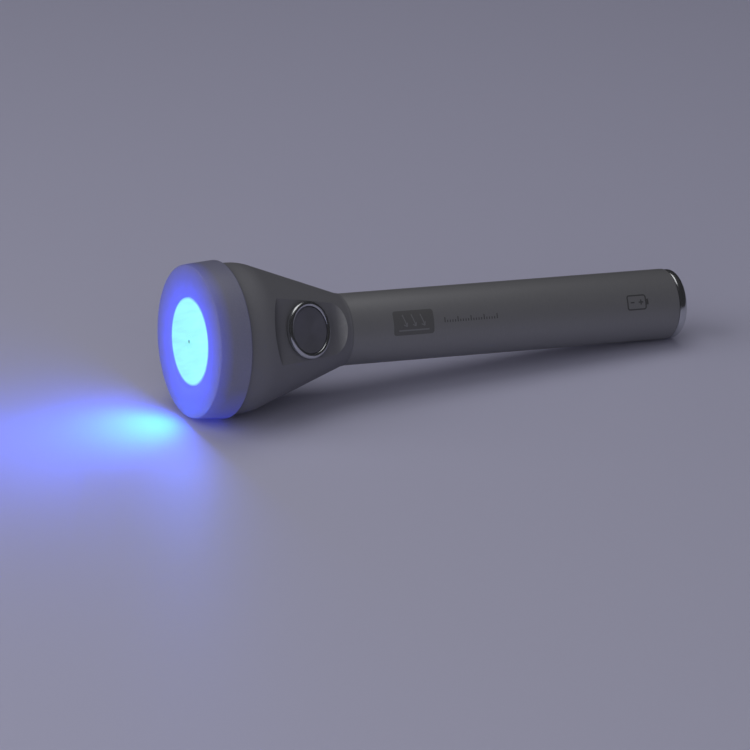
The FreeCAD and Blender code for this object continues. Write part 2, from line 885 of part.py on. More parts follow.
def tail_contact_plate():
    """Brass disc in the cap that seats the spring."""
    back = f"({CAP_FLOOR_STATION} - gap)"
    turned("tail_contact_plate", POSE, [
        (f"{back} - plate_thickness", "0"),
        (f"{back} - plate_thickness", "cap_bore - 3 * gap"),
        (back, "cap_bore - 3 * gap"),
        (back, "0"),
    ])


def tail_cap():
    """Chromed end cap with a coin slot. Its screw spigot is hollow, for the spring."""
    end = f"({CAP_FRONT} + cap_length)"
    tip = f"({CAP_FRONT} - cap_spigot_length)"
    groove_floor = "cap_spigot_radius - cap_groove"
    body = turned("tail_cap", POSE, [
        (end, "0"),
        (end, "cap_radius"),
        (CAP_FRONT, "cap_radius"),
        (CAP_FRONT, "cap_spigot_radius"),
        (f"{CAP_FRONT} - 0.7", "cap_spigot_radius"),
        (f"{CAP_FRONT} - 0.7", groove_floor),
        (f"{CAP_FRONT} - 1.9", groove_floor),
        (f"{CAP_FRONT} - 1.9", "cap_spigot_radius"),
        (f"{tip} + 0.4", "cap_spigot_radius"),
        (tip, "cap_spigot_radius - 0.4"),
        (tip, "cap_bore"),
        (CAP_FLOOR_STATION, "cap_bore"),
        (CAP_FLOOR_STATION, "0"),
    ])
    round_edge(body, end, "cap_radius", "cap_round")
    round_edge(body, CAP_FRONT, "cap_radius", "0.5")
    cap_thread(body)
    slot = new_sketch(body, "coin_slot", "YZ_Plane", z=end)
    draw(slot, [
        ("0 - slot_half_length", "0 - slot_half_width"),
        ("slot_half_length", "0 - slot_half_width"),
        ("slot_half_length", "slot_half_width"),
        ("0 - slot_half_length", "slot_half_width"),
    ])
    cut(body, slot, "slot_depth")
    o_ring("tail_cap_seal", f"{CAP_FRONT} - 1.3", "cap_spigot_radius - 0.45", "0.48")


def cap_thread(body):
    """Turns the thread's grooves in the spigot, one pitch apart."""
    turns = 4
    before = body.Shape.Volume
    middle = f"{CAP_FRONT} - 2.9"
    section = new_sketch(body, "thread_section", "XZ_Plane")
    draw(section, [
        (f"{middle} - thread_pitch * 0.4", "cap_spigot_radius + gap"),
        (f"{middle} - thread_pitch * 0.08", "cap_spigot_radius - thread_depth"),
        (f"{middle} + thread_pitch * 0.08", "cap_spigot_radius - thread_depth"),
        (f"{middle} + thread_pitch * 0.4", "cap_spigot_radius + gap"),
    ])
    first = body.newObject("PartDesign::Groove", "thread_first")
    first.Profile = section
    first.ReferenceAxis = (section, ["H_Axis"])
    first.Angle = 360
    doc.recompute()
    one = before - body.Shape.Volume
    pattern = body.newObject("PartDesign::LinearPattern", "thread_rest")
    pattern.Originals = [first]
    pattern.Direction = (origin_item(body, "X_Axis"), [""])
    pattern.Reversed = True
    bind(pattern, "Length", f"thread_pitch * {turns - 1}")
    pattern.Occurrences = turns
    body.Tip = pattern
    doc.recompute()
    if before - body.Shape.Volume < one * (turns - 0.1):
        raise RuntimeError("a thread groove is missing from the tail cap")


# ---------------------------------------------------------------- the whole lamp


def check_document():
    """Stops if any object failed, or if any sub-part is empty or broken."""
    for obj in doc.Objects:
        if {"Invalid", "Error"} & set(obj.State):
            raise RuntimeError(f"{obj.Name} failed: {obj.State}")
    for obj in subparts:
        if obj.Shape.isNull() or not obj.Shape.isValid() or not obj.Shape.Solids:
            raise RuntimeError(f"{obj.Label} has no sound shape")


def export():
    """Writes one STEP file for each sub-part."""
    os.makedirs(OUT, exist_ok=True)
    for obj in subparts:
        obj.Shape.exportStep(os.path.join(OUT, f"{obj.Label}.step"))
        box = obj.Shape.BoundBox
        print(f"{obj.Label:20s} {len(obj.Shape.Solids)} solid(s) {obj.Shape.Volume:10.1f} mm3"
              f"  x {box.XMin:8.2f} {box.XMax:8.2f}  y {box.YMin:7.2f} {box.YMax:7.2f}"
              f"  z {box.ZMin:6.2f} {box.ZMax:6.2f}")


POSE = lamp_pose()
SWITCH = switch_pose()

for build in (
    front_ring, window_lens, window_seals, reflector, led_insulator, emitter,
    led_board, led_board_screws, heat_sink, head_shell,
    switch_housing, switch_seal, switch_nut, switch_module, switch_terminals, button_cap, button_spring,
    driver_board, driver_components, led_leads, switch_leads, contact_carrier, front_contact,
    body_tube, cells, tail_spring, tail_contact_plate, tail_cap,
):
    build()

doc.recompute()
check_document()
export()
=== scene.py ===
"""The looks of the ultraviolet curing lamp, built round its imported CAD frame.

Everything is in metres, in the row frame. Two sets of axes come from the frame: the lamp's own (X from the
front face towards the tail, Z out through the button) and the button's (X out of the lamp). Pieces that are
turned are drawn as an outline of stations along X and radii, in millimetres, and then put in their place.
"""

import json
import math

import bmesh
import bpy
from mathutils import Matrix, Vector

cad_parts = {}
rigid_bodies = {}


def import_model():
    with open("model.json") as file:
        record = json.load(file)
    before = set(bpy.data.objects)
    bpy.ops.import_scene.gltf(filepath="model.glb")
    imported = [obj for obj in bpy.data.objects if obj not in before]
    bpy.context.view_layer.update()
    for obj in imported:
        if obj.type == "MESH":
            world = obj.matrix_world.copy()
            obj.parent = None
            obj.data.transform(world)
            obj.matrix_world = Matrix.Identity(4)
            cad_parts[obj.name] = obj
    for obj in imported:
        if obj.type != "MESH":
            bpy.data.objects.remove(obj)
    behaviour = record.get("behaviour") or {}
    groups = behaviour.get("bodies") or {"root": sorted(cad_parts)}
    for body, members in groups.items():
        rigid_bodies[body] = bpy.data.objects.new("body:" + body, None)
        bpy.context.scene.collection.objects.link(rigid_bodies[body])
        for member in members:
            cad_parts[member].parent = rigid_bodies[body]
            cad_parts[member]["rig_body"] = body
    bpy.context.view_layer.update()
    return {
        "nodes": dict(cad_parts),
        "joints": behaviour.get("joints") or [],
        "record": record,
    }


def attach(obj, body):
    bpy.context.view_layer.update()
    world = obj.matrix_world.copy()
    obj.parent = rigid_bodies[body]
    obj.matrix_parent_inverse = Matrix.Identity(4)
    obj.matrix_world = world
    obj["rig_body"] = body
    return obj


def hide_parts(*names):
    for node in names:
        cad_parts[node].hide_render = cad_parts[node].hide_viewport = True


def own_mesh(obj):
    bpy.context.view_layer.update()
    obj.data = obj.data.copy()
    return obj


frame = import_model()

MM = 0.001
TURN = 2 * math.pi

# ---------------------------------------------------------------- where things are

MOUNTS = {mount["name"]: mount for mount in frame["record"]["mounts"]}
JOINTS = {joint["name"]: joint for joint in frame["joints"]}

AXIS = Vector(MOUNTS["tube_grip"]["axis"]).normalized()
BUTTON_NORMAL = -Vector(JOINTS["button_press"]["axis"]).normalized()
OUTWARD = (BUTTON_NORMAL - AXIS * BUTTON_NORMAL.dot(AXIS)).normalized()


def axes(x, z, origin):
    """The matrix of right-handed axes with that X and Z."""
    rotation = Matrix((x, z.cross(x), z)).transposed()
    return Matrix.Translation(origin) @ rotation.to_4x4()


def span(node, matrix, index):
    """Lowest and highest coordinate of a CAD node along one of a matrix's axes, in millimetres."""
    back = matrix.inverted()
    places = [(back @ vertex.co)[index] / MM for vertex in frame["nodes"][node].data.vertices]
    return min(places), max(places)


def lamp_axes():
    """The lamp's own axes. Their origin is the centre of the front face."""
    grip = Vector(MOUNTS["tube_grip"]["pos_m"])
    face = Vector(MOUNTS["work_face"]["pos_m"])
    return axes(AXIS, OUTWARD, grip - AXIS * (grip - face).dot(AXIS))


def button_axes():
    """The button's axes. Their origin is where its axis meets the floor of the pocket, under the seal."""
    loose = axes(BUTTON_NORMAL, BUTTON_NORMAL.cross(LAMP.col[1].to_3d()), Vector())
    floor = span("switch_seal", loose, 0)[0]
    middle = [sum(span("switch_seal", loose, index)) / 2 for index in (1, 2)]
    return loose @ Matrix.Translation(Vector((floor, *middle)) * MM)


LAMP = lamp_axes()
BUTTON = button_axes()

TUBE_RADIUS = MOUNTS["tube_grip"]["dims"]["r_mm"]
RING_END = span("front_ring", LAMP, 0)[1]
TUBE_START, TUBE_END = span("body_tube", LAMP, 0)
CAP_TIP, CAP_END = span("tail_cap", LAMP, 0)
CAP_RADIUS = span("tail_cap", LAMP, 1)[1]
HOUSING_DEPTH, HOUSING_TOP = span("switch_housing", BUTTON, 0)
BEZEL_RADIUS = span("switch_housing", BUTTON, 1)[1]
STEM_DEPTH, BUTTON_TOP = span("button_cap", BUTTON, 0)
BUTTON_RADIUS = span("button_cap", BUTTON, 1)[1]

# The lit part of the window, and the station where the pocket's flat floor turns up into the thumb scoop.
WINDOW_RADIUS = 18.2
SCOOP_START = 58.6

# ---------------------------------------------------------------- meshes

SHARP = 35


def add(name, data):
    """Puts a new object into the scene."""
    obj = bpy.data.objects.new(name, data)
    bpy.context.scene.collection.objects.link(obj)
    return obj


def smooth(mesh, sharp=SHARP):
    """Shades a mesh smooth, apart from edges above that angle in degrees."""
    mesh.shade_smooth()
    mesh.set_sharp_from_angle(angle=math.radians(sharp))


def add_mesh(name, vertices, faces, sharp=SHARP):
    """A smooth mesh object whose faces look outwards."""
    mesh = bpy.data.meshes.new(name)
    mesh.from_pydata(vertices, [], faces)
    outwards = bmesh.new()
    outwards.from_mesh(mesh)
    bmesh.ops.recalc_face_normals(outwards, faces=outwards.faces)
    outwards.to_mesh(mesh)
    outwards.free()
    smooth(mesh, sharp)
    return add(name, mesh)


def rounded(corners, steps=8):
    """A closed outline of (along, radius) corners. A third number rounds that corner with an arc."""
    points = []
    for i, (x, y, *rounding) in enumerate(corners):
        corner = Vector((x, y))
        if not rounding:
            points.append(corner)
            continue
        back = (Vector(corners[i - 1][:2]) - corner).normalized()
        on = (Vector(corners[(i + 1) % len(corners)][:2]) - corner).normalized()
        half = back.angle(on) / 2
        centre = corner + (back + on).normalized() * (rounding[0] / math.sin(half))
        first = corner + back * (rounding[0] / math.tan(half)) - centre
        turn = first.angle_signed(corner + on * (rounding[0] / math.tan(half)) - centre)
        points += [centre + Matrix.Rotation(-turn * k / steps, 2) @ first for k in range(steps + 1)]
    return points


def turned(name, matrix, outline, sides=192, relief=None):
    """A closed outline turned about the matrix's X axis. relief(along, radius, angle) may change a radius."""
    on_axis = 1e-6
    vertices, rings, faces = [], [], []
    for along, radius in outline:
        count = sides if radius > on_axis else 1
        rings.append(range(len(vertices), len(vertices) + count))
        for k in range(count):
            angle = TURN * k / sides
            r = relief(along, radius, angle) if relief else radius
            vertices.append(matrix @ (Vector((along, r * math.cos(angle), r * math.sin(angle))) * MM))
    for this, after in zip(rings, rings[1:] + rings[:1]):
        for k in range(sides):
            around = [this[k % len(this)], this[(k + 1) % len(this)]]
            around += [after[(k + 1) % len(after)], after[k % len(after)]]
            face = list(dict.fromkeys(around))
            if len(face) > 2:
                faces.append(face)
    return add_mesh(name, vertices, faces)


def shade_by_angle():
    """A modifier's node group that shades faces smooth, and keeps edges above 30 degrees sharp."""
    group = bpy.data.node_groups.new("shade_by_angle", "GeometryNodeTree")
    group.interface.new_socket("Geometry", in_out="INPUT", socket_type="NodeSocketGeometry")
    group.interface.new_socket("Geometry", in_out="OUTPUT", socket_type="NodeSocketGeometry")
    nodes, links = group.nodes, group.links
    start, end = nodes.new("NodeGroupInput"), nodes.new("NodeGroupOutput")
    faces, edges = nodes.new("GeometryNodeSetShadeSmooth"), nodes.new("GeometryNodeSetShadeSmooth")
    angle, sharp = nodes.new("GeometryNodeInputMeshEdgeAngle"), nodes.new("FunctionNodeCompare")
    edges.domain = "EDGE"
    edges.inputs["Shade Smooth"].default_value = False
    sharp.inputs["B"].default_value = math.radians(30)
    links.new(start.outputs[0], faces.inputs["Geometry"])
    links.new(faces.outputs[0], edges.inputs["Geometry"])
    links.new(angle.outputs["Unsigned Angle"], sharp.inputs["A"])
    links.new(sharp.outputs[0], edges.inputs["Selection"])
    links.new(edges.outputs[0], end.inputs[0])
    return group


# ---------------------------------------------------------------- material nodes


class Graph:
    """One material's nodes. An input is a number, a colour or another node's output."""

    def __init__(self, name):
        self.material = bpy.data.materials.new(name)
        self.material.use_nodes = True
        self.tree = self.material.node_tree
        self.shader = self.tree.nodes["Principled BSDF"]

    def put(self, socket, value):
        """Links or sets one input."""
        if isinstance(value, bpy.types.NodeSocket):
            self.tree.links.new(value, socket)
        else:
            socket.default_value = value

    def node(self, kind, inputs, out=0, **settings):
        """Adds a node and returns one of its outputs."""
        node = self.tree.nodes.new(f"ShaderNode{kind}")
        for key, value in settings.items():
            setattr(node, key, value)
        for key, value in inputs.items():
            self.put(node.inputs[key], value)
        return node.outputs[out]

    def set(self, inputs):
        """Sets the shader's own inputs."""
        for key, value in inputs.items():
            self.put(self.shader.inputs[key], value)

    def place(self, matrix, grain=1.0):
        """Coordinates along a matrix's axes in millimetres, divided by the grain's size or three sizes."""
        sizes = grain if isinstance(grain, tuple) else (grain, grain, grain)
        own = self.node("TexCoord", {}, "Object")
        return self.node(
            "Mapping",
            {
                "Vector": own,
                "Location": matrix.translation,
                "Rotation": matrix.to_euler(),
                "Scale": [MM * size for size in sizes],
            },
            vector_type="TEXTURE",
        )

    def along(self, place, axis):
        """One coordinate of a place."""
        return self.node("SeparateXYZ", {0: place}, axis)

    def radius(self, place):
        """Distance from the X axis."""
        flat = self.node("VectorMath", {0: place, 1: (0, 1, 1)}, operation="MULTIPLY")
        return self.node("VectorMath", {0: flat}, "Value", operation="LENGTH")

    def noise(self, place, detail=3.0):
        """Cloudy noise whose features are about one unit of the place across."""
        return self.node("TexNoise", {"Vector": place, "Scale": 1.0, "Detail": detail})

    def between(self, value, low, high, first, last):
        """Maps low..high to first..last, and holds the ends."""
        return self.node("MapRange", {0: value, 1: low, 2: high, 3: first, 4: last})

    def vary(self, noise, first, last):
        """Maps a noise's usual span to first..last."""
        return self.between(noise, 0.3, 0.7, first, last)

    def product(self, first, *others):
        """All the factors multiplied together."""
        for factor in others:
            first = self.node("Math", {0: first, 1: factor}, operation="MULTIPLY")
        return first

    def blend(self, value, first, last):
        """A colour between two."""
        node = self.tree.nodes.new("ShaderNodeMix")
        node.data_type = "RGBA"
        colours = [socket for socket in node.inputs if socket.type == "RGBA"]
        self.put(node.inputs[0], value)
        for socket, colour in zip(colours, (first, last)):
            self.put(socket, (*colour, 1) if isinstance(colour, tuple) else colour)
        return [socket for socket in node.outputs if socket.type == "RGBA"][0]

    def bump(self, height, depth):
        """Relief of that depth in millimetres."""
        self.set({"Normal": self.node("Bump", {"Height": height, "Strength": 1.0, "Distance": depth * MM})})


def grained(name, dark, light, grain, rough, metallic=0.0, depth=0.01):
    """A finish whose colour, gloss and relief vary with one noise of that grain size in millimetres."""
    graph = Graph(name)
    noise = graph.noise(graph.place(LAMP, grain))
    graph.set({
        "Base Color": graph.blend(graph.vary(noise, 0.0, 1.0), dark, light),
        "Roughness": graph.vary(noise, *rough),
        "Metallic": metallic,
    })
    graph.bump(noise, depth)
    return graph


def round_brushed(graph, axis, amount):
    """Brushing that runs round an axis, so that reflections spread across it."""
    normal = graph.node("NewGeometry", {}, "Normal")
    around = graph.node("VectorMath", {0: normal, 1: tuple(axis)}, operation="CROSS_PRODUCT")
    graph.set({"Anisotropic": amount, "Tangent": around})


# ---------------------------------------------------------------- materials of the outside

COATING_GLOSS = 0.85


def ring_plastic():
    """Frosted white plastic with the emitter's light painted on as glow: strongest by the window, faint on
    the skirt, stronger low down and at the skirt's foot by the table.
    """
    graph = grained(
        "ring_plastic",
        dark=(0.203, 0.203, 0.235),
        light=(0.229, 0.229, 0.26),
        grain=0.5,
        rough=(0.42, 0.55),
    )
    window_edge, rim, rim_share = 18.5, 31.0, 0.24
    bottom, top, bottom_share, top_share = -30.0, 30.0, 1.05, 0.75
    table, above_table, table_share = -33.0, -12.0, 1.0
    face_end, skirt_start, skirt_share = 0.2, 6.0, 0.14
    brightness = 1.1
    place = graph.place(LAMP)
    # Painted glow: emission in place of the light carried through the plastic, stronger at the bottom and at
    # the skirt's foot by the table.
    height = graph.along(graph.place(Matrix.Translation(LAMP.translation)), "Z")
    outwards = graph.between(graph.radius(place), window_edge, rim, 1.0, rim_share)
    upwards = graph.between(height, bottom, top, bottom_share, top_share)
    on_skirt = graph.between(height, table, above_table, table_share, skirt_share)
    backwards = graph.between(graph.along(place, "X"), face_end, skirt_start, 1.0, on_skirt)
    cloudy = graph.vary(graph.noise(graph.place(LAMP, 6.0)), 0.93, 1.07)
    graph.set({
        "Subsurface Weight": 0.25,
        "Subsurface Radius": (1.0, 1.0, 1.0),
        "Subsurface Scale": 2 * MM,
        "Emission Color": (0.03, 0.055, 1.0, 1),
        "Emission Strength": graph.product(outwards, upwards, backwards, cloudy, brightness),
    })
    return graph.material


def lens_clear():
    """The lit window. The emitter's die shows as a speck in the middle of an even field of light."""
    graph = Graph("lens_clear")
    speck_radius, speck_end, speck_share = 0.35, 0.95, 0.2
    edge_start = 17.3
    bottom, top = -12.0, 12.0
    place = graph.place(LAMP)
    radius = graph.radius(place)
    streak = graph.noise(graph.place(LAMP, (5.0, 2.5, 14.0)), detail=1.0)
    streaky = graph.between(streak, 0.35, 0.7, 1.03, 0.94)
    upwards = graph.between(graph.along(place, "Z"), bottom, top, 0.92, 1.03)
    middle = graph.between(radius, speck_radius, speck_end, speck_share, 1.0)
    edge = graph.between(radius, edge_start, WINDOW_RADIUS, 0.0, 1.0)
    graph.set({
        "Base Color": (0.02, 0.05, 0.06, 1),
        "Roughness": graph.vary(streak, 0.05, 0.12),
        "Emission Color": graph.blend(edge, (0.34, 0.97, 1.0), (0.2, 0.4, 1.0)),
        "Emission Strength": graph.product(streaky, upwards, middle),
    })
    return graph.material


def head_coating():
    """Matt blasted coating with painted shade in its corners. The thumb scoop is painted lighter up its rear
    wall, where it faces the front: a patchy painted highlight.
    """
    graph = Graph("head_coating")
    grain = graph.noise(graph.place(LAMP, 0.22))
    coat = graph.blend(graph.vary(grain, 0.0, 1.0), (0.172, 0.172, 0.196), (0.204, 0.204, 0.229))
    # Painted highlight: the scoop's rear wall, where its normal faces the front, is painted lighter in
    # patches.
    normal = graph.node("NewGeometry", {}, "Normal")
    lean = graph.node("VectorMath", {0: normal, 1: tuple(AXIS)}, "Value", operation="DOT_PRODUCT")
    facing = graph.between(lean, -0.5, 0.0, 1.0, 0.0)
    station = graph.along(graph.place(LAMP), "X")
    blur = 0.2
    behind = graph.between(station, SCOOP_START - blur, SCOOP_START + blur, 0.0, 1.0)
    patchy = graph.vary(graph.noise(graph.place(LAMP, (2.5, 1.5, 1.5))), 0.7, 1.0)
    scoop_painted_highlight = graph.blend(graph.product(facing, behind, patchy), coat, (0.36, 0.36, 0.38))
    # Painted shade: corners and the foot of the pocket's walls are darkened toward black where ambient
    # occlusion finds them enclosed.
    corner_reach = 9 * MM
    openness = graph.node("AmbientOcclusion", {"Distance": corner_reach}, "AO", samples=8, only_local=True)
    unshaded = graph.between(openness, 0.68, 0.97, 0.0, 1.0)
    graph.set({
        "Base Color": graph.blend(unshaded, (0.03, 0.03, 0.035), scoop_painted_highlight),
        "Roughness": graph.vary(grain, 0.6, 0.72),
        "Metallic": 0.15,
        "Specular IOR Level": COATING_GLOSS,
    })
    graph.bump(grain, 0.012)
    return graph.material


def tube_anodising():
    """Satin anodising over fine turning marks that run round the tube."""
    graph = grained(
        "tube_anodising",
        dark=(0.195, 0.195, 0.212),
        light=(0.225, 0.225, 0.242),
        grain=(0.09, 3.0, 3.0),
        rough=(0.4, 0.5),
        metallic=0.2,
        depth=0.003,
    )
    graph.set({"Specular IOR Level": COATING_GLOSS})
    round_brushed(graph, AXIS, 0.35)
    return graph.material


def bright_chrome():
    """Polished plating with hair-fine wipe marks."""
    return grained(
        "bright_chrome",
        dark=(0.56, 0.57, 0.59),
        light=(0.64, 0.65, 0.67),
        grain=(0.6, 0.08, 0.6),
        rough=(0.17, 0.23),
        metallic=0.95,
        depth=0.0004,
    ).material


def button_steel():
    """Dark steel, faced in a lathe: fine rings round the middle of the button."""
    graph = Graph("button_steel")
    rings_per_mm = 7.0
    out = graph.product(graph.radius(graph.place(BUTTON)), rings_per_mm)
    rings = graph.noise(graph.node("CombineXYZ", {"X": out, "Y": 0.0, "Z": 0.0}), detail=4.0)
    cloudy = graph.noise(graph.place(BUTTON, 3.0))
    graph.set({
        "Base Color": graph.blend(cloudy, (0.18, 0.18, 0.22), (0.22, 0.22, 0.26)),
        "Roughness": graph.vary(rings, 0.3, 0.42),
        "Metallic": 0.45,
    })
    graph.bump(rings, 0.004)
    round_brushed(graph, BUTTON_NORMAL, 0.8)
    return graph.material


def mark_ink():
    """Dark laser marking, slightly uneven."""
    return grained(
        "mark_ink",
        dark=(0.055, 0.055, 0.06),
        light=(0.085, 0.085, 0.09),
        grain=0.3,
        rough=(0.5, 0.65),
    ).material


def mark_panel():
    """The marked panel's ground, a little darker than the tube."""
    return grained(
        "mark_panel",
        dark=(0.1, 0.1, 0.105),
        light=(0.125, 0.125, 0.13),
        grain=0.3,
        rough=(0.5, 0.6),
    ).material


# ---------------------------------------------------------------- materials of the inside


def seal_rubber():
    """Black rubber with a dull bloom."""
    return grained(
        "seal_rubber",
        dark=(0.012, 0.012, 0.013),
        light=(0.03, 0.03, 0.032),
        grain=0.6,
        rough=(0.6, 0.85),
    ).material


def bowl_metal():
    """Vapour-coated reflector with a faint orange peel."""
    return grained(
        "bowl_metal",
        dark=(0.86, 0.86, 0.88),
        light=(0.92, 0.92, 0.93),
        grain=1.2,
        rough=(0.06, 0.12),
        metallic=1.0,
    ).material


def white_plastic():
    """Moulded white plastic."""
    return grained(
        "white_plastic",
        dark=(0.74, 0.74, 0.71),
        light=(0.82, 0.82, 0.8),
        grain=0.8,
        rough=(0.4, 0.55),
    ).material


def led_ceramic():
    """Fired ceramic of the emitter's base."""
    return grained(
        "led_ceramic",
        dark=(0.72, 0.72, 0.69),
        light=(0.84, 0.84, 0.82),
        grain=0.15,
        rough=(0.5, 0.7),
    ).material


def led_silicone():
    """Clear dome over the emitter's die."""
    graph = grained(
        "led_silicone",
        dark=(0.8, 0.8, 0.6),
        light=(0.9, 0.9, 0.76),
        grain=0.8,
        rough=(0.08, 0.16),
    )
    graph.set({"Transmission Weight": 0.6, "IOR": 1.41})
    return graph.material


def board_solder_mask():
    """White solder mask on an aluminium board."""
    return grained(
        "board_solder_mask",
        dark=(0.74, 0.75, 0.76),
        light=(0.84, 0.85, 0.85),
        grain=0.5,
        rough=(0.35, 0.5),
    ).material


def plain_steel():
    """Drawn or turned steel with lengthwise streaks."""
    return grained(
        "plain_steel",
        dark=(0.42, 0.42, 0.44),
        light=(0.6, 0.6, 0.62),
        grain=(1.5, 0.12, 0.12),
        rough=(0.22, 0.4),
        metallic=1.0,
        depth=0.002,
    ).material


def sink_aluminium():
    """Turned aluminium with tool marks round the axis."""
    graph = grained(
        "sink_aluminium",
        dark=(0.55, 0.56, 0.58),
        light=(0.68, 0.69, 0.71),
        grain=(0.12, 4.0, 4.0),
        rough=(0.28, 0.42),
        metallic=1.0,
        depth=0.004,
    )
    round_brushed(graph, AXIS, 0.4)
    return graph.material


def wire_insulation():
    """Red extruded insulation."""
    return grained(
        "wire_insulation",
        dark=(0.3, 0.012, 0.012),
        light=(0.42, 0.025, 0.02),
        grain=(2.0, 0.3, 0.3),
        rough=(0.35, 0.5),
    ).material


def circuit_board():
    """Green board whose weave shows faintly."""
    return grained(
        "circuit_board",
        dark=(0.012, 0.1, 0.045),
        light=(0.025, 0.16, 0.07),
        grain=0.3,
        rough=(0.3, 0.45),
    ).material


def circuit_parts():
    """Black moulded component bodies."""
    return grained(
        "circuit_parts",
        dark=(0.018, 0.018, 0.02),
        light=(0.04, 0.04, 0.043),
        grain=0.2,
        rough=(0.4, 0.6),
    ).material


def black_plastic():
    """Black glass-filled plastic."""
    return grained(
        "black_plastic",
        dark=(0.014, 0.014, 0.016),
        light=(0.03, 0.03, 0.033),
        grain=0.4,
        rough=(0.4, 0.6),
    ).material


def contact_brass():
    """Stamped brass, slightly dulled in places."""
    return grained(
        "contact_brass",
        dark=(0.5, 0.34, 0.11),
        light=(0.72, 0.52, 0.2),
        grain=1.5,
        rough=(0.22, 0.42),
        metallic=1.0,
        depth=0.003,
    ).material


def cell_sleeve():
    """Shrunk blue sleeve with shallow wrinkles round the cell."""
    return grained(
        "cell_sleeve",
        dark=(0.01, 0.045, 0.19),
        light=(0.02, 0.08, 0.3),
        grain=(6.0, 1.5, 1.5),
        rough=(0.25, 0.4),
        depth=0.02,
    ).material


FINISHES = {
    make.__name__: make()
    for make in (
        ring_plastic, lens_clear, seal_rubber, bowl_metal, white_plastic, led_ceramic, led_silicone,
        board_solder_mask, plain_steel, sink_aluminium, wire_insulation, circuit_board, circuit_parts,
        head_coating, tube_anodising, bright_chrome, button_steel, black_plastic, contact_brass, cell_sleeve,
    )
}


def stands_for(piece, node, slot):
    """Shows a piece in place of a CAD node, on the same body and in its slot's finish."""
    piece.data.materials.append(FINISHES[slot])
    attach(piece, frame["nodes"][node]["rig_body"])
    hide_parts(node)


# ---------------------------------------------------------------- turned pieces


def make_ring():
    """Front ring: a flat face with a flared window, a tapered skirt, and softly rounded edges."""
    window, flare, flare_depth, flare_round = 18.4, 1.2, 0.6, 0.15
    wall, skirt, skirt_round = 4.0, 29.2, 0.3
    face, face_round = 31.65, 0.7
    back, back_round = 32.747, 0.6
    outline = rounded([
        (0, window + flare, flare_round),
        (0, face, face_round),
        (RING_END, back, back_round),
        (RING_END, skirt, skirt_round),
        (wall, skirt),
        (wall, window),
        (flare_depth, window),
    ])
    stands_for(turned("ring_frosted", LAMP, outline, sides=256), "front_ring", "ring_plastic")


def make_tube():
    """Battery tube with a small round at each end."""
    bore = TUBE_RADIUS - 1.5
    head_round, tail_round, bore_round = 0.2, 0.4, 0.1
    outline = rounded([
        (TUBE_START, bore),
        (TUBE_START, TUBE_RADIUS, head_round),
        (TUBE_END, TUBE_RADIUS, tail_round),
        (TUBE_END, bore, bore_round),
    ])
    stands_for(turned("tube_sleeve", LAMP, outline), "body_tube", "tube_anodising")


def make_bezel():
    """Bezel and barrel of the button. The bezel is a half-round ring with a softer inner side."""
    barrel, barrel_round = BEZEL_RADIUS - 1.4, 0.3
    shelf, throat, bore = -1.5, 9.0, BUTTON_RADIUS + 0.1
    foot, foot_round, shoulder = 0.4, 0.1, 1.3
    crest, crest_drop, crest_round = BEZEL_RADIUS - 1.35, 0.08, 0.25
    inner_drop, inner_round = 0.3, 0.6
    outline = rounded([
        (shelf, bore),
        (shelf, throat),
        (HOUSING_DEPTH, throat),
        (HOUSING_DEPTH, barrel, barrel_round),
        (foot, barrel),
        (foot, BEZEL_RADIUS, foot_round),
        (HOUSING_TOP, BEZEL_RADIUS, shoulder),
        (HOUSING_TOP - crest_drop, crest, crest_round),
        (HOUSING_TOP - inner_drop, bore, inner_round),
    ], steps=16)
    stands_for(turned("button_bezel", BUTTON, outline, sides=256), "switch_housing", "bright_chrome")


def make_button():
    """The button: a dished disc with a rounded rim, on a stem."""
    dish, rings = 0.3, 12
    rim, rim_round, back = 0.4, 0.36, -0.1
    stem, stem_round, tip_round = 3.0, 0.2, 0.4
    flat = BUTTON_RADIUS - rim
    face = [
        (BUTTON_TOP - dish * (1 - (k / rings) ** 2), flat * k / rings)
        for k in range(1, rings)
    ]
    outline = rounded([
        (BUTTON_TOP - dish, 0),
        *face,
        (BUTTON_TOP, flat),
        (BUTTON_TOP, BUTTON_RADIUS, rim_round),
        (back, BUTTON_RADIUS),
        (back, stem, stem_round),
        (STEM_DEPTH, stem, tip_round),
        (STEM_DEPTH, 0),
    ])
    stands_for(turned("button_disc", BUTTON, outline, sides=256), "button_cap", "button_steel")


def make_button_spring():
    """Return spring of the button, with closed ends."""
    wire, turns, closed, per_turn, sides = 0.35, 5.0, 0.75, 40, 10
    low, high = span("button_spring", BUTTON, 0)
    coil = span("button_spring", BUTTON, 1)[1] - wire
    bottom, rise = low + wire, high - low - 2 * wire
    closed_lead = 2.04 * wire
    open_turns = turns - 2 * closed
    open_rise = rise - 2 * closed_lead * closed
    steps = round(turns * per_turn)
    vertices = []
    for k in range(steps + 1):
        turn = turns * k / steps
        in_ends = min(turn, closed) + max(0.0, turn - (turns - closed))
        in_open = min(max(turn - closed, 0.0), open_turns)
        along = bottom + closed_lead * in_ends + open_rise * in_open / open_turns
        angle = TURN * turn
        for side in range(sides):
            tilt = TURN * side / sides
            out = coil + wire * math.cos(tilt)
            point = (along + wire * math.sin(tilt), out * math.cos(angle), out * math.sin(angle))
            vertices.append(BUTTON @ (Vector(point) * MM))
    faces = [
        [sides * k + i, sides * k + (i + 1) % sides, sides * (k + 1) + (i + 1) % sides, sides * (k + 1) + i]
        for k in range(steps)
        for i in range(sides)
    ]
    faces += [list(range(sides)), list(range(sides * steps, sides * (steps + 1)))]
    spring = add_mesh("spring_return", vertices, faces, sharp=60)
    stands_for(spring, "button_spring", "plain_steel")
    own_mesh(spring)


